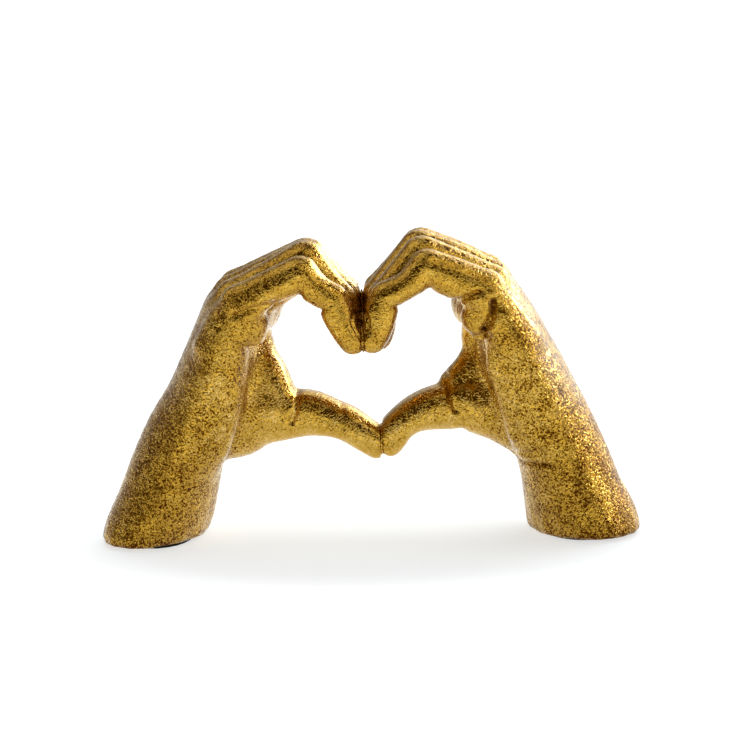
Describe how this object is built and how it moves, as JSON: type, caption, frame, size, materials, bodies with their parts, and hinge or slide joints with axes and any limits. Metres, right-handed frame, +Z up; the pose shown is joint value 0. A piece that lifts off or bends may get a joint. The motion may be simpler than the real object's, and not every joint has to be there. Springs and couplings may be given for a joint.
{
  "type": "heart hands sculpture",
  "caption": "Table ornament of a pair of cast hands standing on their wrists, with curled fingers and thumbs meeting to enclose a heart, in speckled antique gold.",
  "frame": {"origin": "on the table, midway between the two wrists, at the bottom centre of the ornament", "axes": "+X from the left hand to the right hand as pictured, +Y away from the little fingers towards the thumbs, +Z up"},
  "size_m": [0.251, 0.0627, 0.1422],
  "materials": {
    "gilded_resin": "gold leaf effect with fine dark brown speckle, over cast resin",
    "plug_filler": "matte cast filler",
    "felt": "dark self-adhesive felt",
    "dowel_steel": "plain steel pin",
    "glue": "set epoxy, toned with the antiquing wash"
  },
  "bodies": {
    "root": {"left_hand": "gilded_resin", "right_hand": "gilded_resin", "left_wrist_plug": "plug_filler", "right_wrist_plug": "plug_filler", "left_felt_pad": "felt", "right_felt_pad": "felt", "fingertip_dowel": "dowel_steel", "thumb_dowel": "dowel_steel", "fingertip_glue": "glue", "thumb_glue": "glue"}
  },
  "joints": []
}
